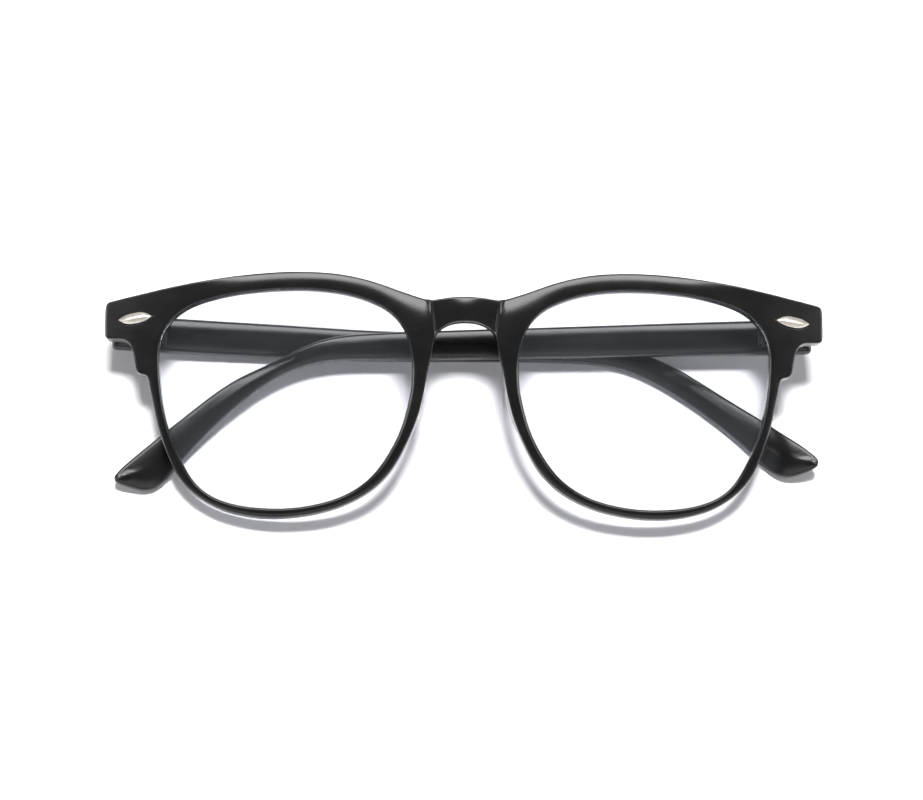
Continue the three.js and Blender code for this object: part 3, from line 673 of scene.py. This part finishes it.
# ---- arms
def arm(label):
    side = 1 if label == "left" else -1
    top, bottom = ARM_TOP[label], ARM_BOTTOM[label]
    t = catmull([[-5.2, top[0][1]], *top])
    b = catmull([[-5.2, bottom[0][1]], *bottom])
    end = np.array([[-5.6, bottom[0][1] + 0.15], [-5.8, bottom[0][1] + 0.6], [-5.8, top[0][1] - 0.6], [-5.6, top[0][1] - 0.15]])
    loop = even(np.vstack([t, b[::-1], end]), 0.3, closed=True)
    m = np.ones(len(loop))
    m[(loop[:, 0] < -3) | (loop[:, 0] > loop[:, 0].max() - 10)] = 0
    loop = soften(loop, 0.3, 1.6, m)
    loop = loop if area(loop) > 0 else loop[::-1]

    def heights(p, dist):
        u, v, d = p[:, 0], p[:, 1], dist[0]
        thick = 1 + (ARM_SWELL / ARM_T) * (1 - step(u, 9, 34))
        bend = np.where(u > BEND_FROM, TIP_BEND[label] * np.clip((u - BEND_FROM) / 55, 0, None) ** TIP_POWER[label], 0)
        mid = (np.interp(u, t[:, 0], t[:, 1]) + np.interp(u, b[:, 0], b[:, 1])) / 2
        upper = step(v - mid, -0.4, 0.4)
        tip = step(u, BEND_FROM, BEND_FROM + 30)
        slope_w, under_w = 2.7 + 1.6 * tip, 2.3 + 0.9 * tip
        crown_in = upper * 0.28 * slope_w * np.clip(1 - d / slope_w, 0, 1) ** 1.5
        crown_in += (1 - upper) * 0.24 * under_w * np.clip(1 - d / under_w, 0, 1) ** 1.5
        crown_out = 0.30 * np.clip(1 - d / 3.5, 0, 1) ** 2
        # an open slope along the top of the inner face
        w_in = ARM_OFF + (0.0 + crown_in + fillet(d, 0.55)) * thick - bend
        w_out = ARM_OFF + (ARM_T - crown_out - fillet(d, 0.55)) * thick - bend
        return -w_in, -w_out

    vv, ff = plate([loop], (0.04, 0.16, 0.34, 0.55, 0.8), [], 0.75, heights)
    p = np.column_stack([-vv[:, 2], vv[:, 1], -vv[:, 0]])
    # plate's frame is (u, v, -w): to the pin's frame (w, v, -u) is a turn, so faces stay outward
    p[:, 0] *= side
    f = ff if side > 0 else ff[:, ::-1]
    turn = rz(DROOP[label] * side) @ ry((90 + FOLD[label]) * side)
    p = p @ turn.T + PIN * [side, 1, 1]
    ob = make("arm_shell_" + label, lay(p), f, BLACK)
    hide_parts("temple_" + label)
    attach(ob, "arm_" + label)
    return ob


arms = {}
for label in ("left", "right"):
    lens(label)
    rivet(label)
    arms[label] = arm(label)

# ---- hinge hardware keeps its engineered shape
for name, ob in frame["nodes"].items():
    if name.startswith("hinge_"):
        ob.data.materials.clear()
        ob.data.materials.append(STEEL)

# ---- floor, light and camera
me = bpy.data.meshes.new("floor")
S = 1.6
me.from_pydata([(-S, -S, 0), (S, -S, 0), (S, S, 0), (-S, S, 0)], [], [(0, 1, 2, 3)])
floor = bpy.data.objects.new("floor", me)
bpy.context.scene.collection.objects.link(floor)
fm, nt, out = nodes_of("floor_white")
b = nt.nodes.new("ShaderNodeBsdfDiffuse")
b.inputs["Color"].default_value = (0.90, 0.90, 0.93, 1)
nt.links.new(b.outputs["BSDF"], out.inputs["Surface"])
me.materials.append(fm)

world = bpy.data.worlds.new("studio")
bpy.context.scene.world = world
world.use_nodes = True
wt = world.node_tree
bg = wt.nodes["Background"]
sep = wt.nodes.new("ShaderNodeSeparateXYZ")
wt.links.new(wt.nodes.new("ShaderNodeTexCoord").outputs["Generated"], sep.inputs["Vector"])
sky = wt.nodes.new("ShaderNodeMapRange")
sky.interpolation_type = "SMOOTHSTEP"
sky.inputs["From Min"].default_value = 0.0
sky.inputs["From Max"].default_value = 0.75
sky.inputs["To Min"].default_value = 0.95
sky.inputs["To Max"].default_value = 0.16
wt.links.new(sep.outputs["Z"], sky.inputs["Value"])
wt.links.new(sky.outputs["Result"], bg.inputs["Strength"])
bg.inputs["Color"].default_value = (1.0, 0.995, 1.0, 1)


def softbox(name, toward, distance_m, size, power, colour=(1, 1, 1)):
    li = bpy.data.lights.new(name, "AREA")
    li.shape = "RECTANGLE"
    li.size, li.size_y = size
    li.energy = power
    li.color = colour
    ob = bpy.data.objects.new(name, li)
    d = Vector(toward).normalized()
    ob.location = d * distance_m
    ob.rotation_euler = d.to_track_quat("Z", "Y").to_euler()
    bpy.context.scene.collection.objects.link(ob)
    return ob


key = softbox("key", (0.0, -0.05, 1.0), 1.2, (0.24, 0.17), 24.0)
key.visible_glossy = False
card = softbox("card", (0.0, 0.56, 1.0), 1.2, (1.5, 0.38), 17.0)
front_strip = softbox("front_strip", (0.0, -1.2, 1.0), 1.2, (2.0, 0.34), 2.4)
left_strip = softbox("left_strip", (-1.45, 0.1, 1.0), 1.2, (0.30, 0.9), 5.0)
right_strip = softbox("right_strip", (1.45, 0.1, 1.0), 1.2, (0.30, 0.9), 5.0)
fill = softbox("fill", (0.0, -1.0, 0.8), 1.2, (1.6, 0.8), 3.6)
fill.visible_glossy = False
for lamp in (front_strip, left_strip, right_strip):
    lamp.visible_diffuse = False
card.visible_diffuse = False


yaw, pit, rol = math.radians(1.294), math.radians(8.0), math.radians(0.144)
back = np.array([-math.sin(yaw) * math.cos(pit), -math.sin(pit), math.cos(yaw) * math.cos(pit)])
right = np.cross([0, 1, 0], back)
right /= np.linalg.norm(right)
up = np.cross(back, right)
cx = math.cos(rol) * right + math.sin(rol) * up
cy = -math.sin(rol) * right + math.cos(rol) * up
pos = lay(600 * back[None])[0]
X, Y, Z = LIE @ cx, LIE @ cy, LIE @ back
cam = bpy.data.cameras.new("camera")
cam.sensor_fit = "HORIZONTAL"
cam.sensor_width = 36.0
cam.lens = 36.0 * 3036 / 923
cam.shift_x, cam.shift_y = -0.00429, -0.00054
cam.clip_start, cam.clip_end = 0.01, 20
co = bpy.data.objects.new("camera", cam)
co.matrix_world = Matrix([[X[0], Y[0], Z[0], pos[0]], [X[1], Y[1], Z[1], pos[1]], [X[2], Y[2], Z[2], pos[2]], [0, 0, 0, 1]])
bpy.context.scene.collection.objects.link(co)
bpy.context.scene.camera = co
bpy.context.scene.view_settings.view_transform = "Standard"
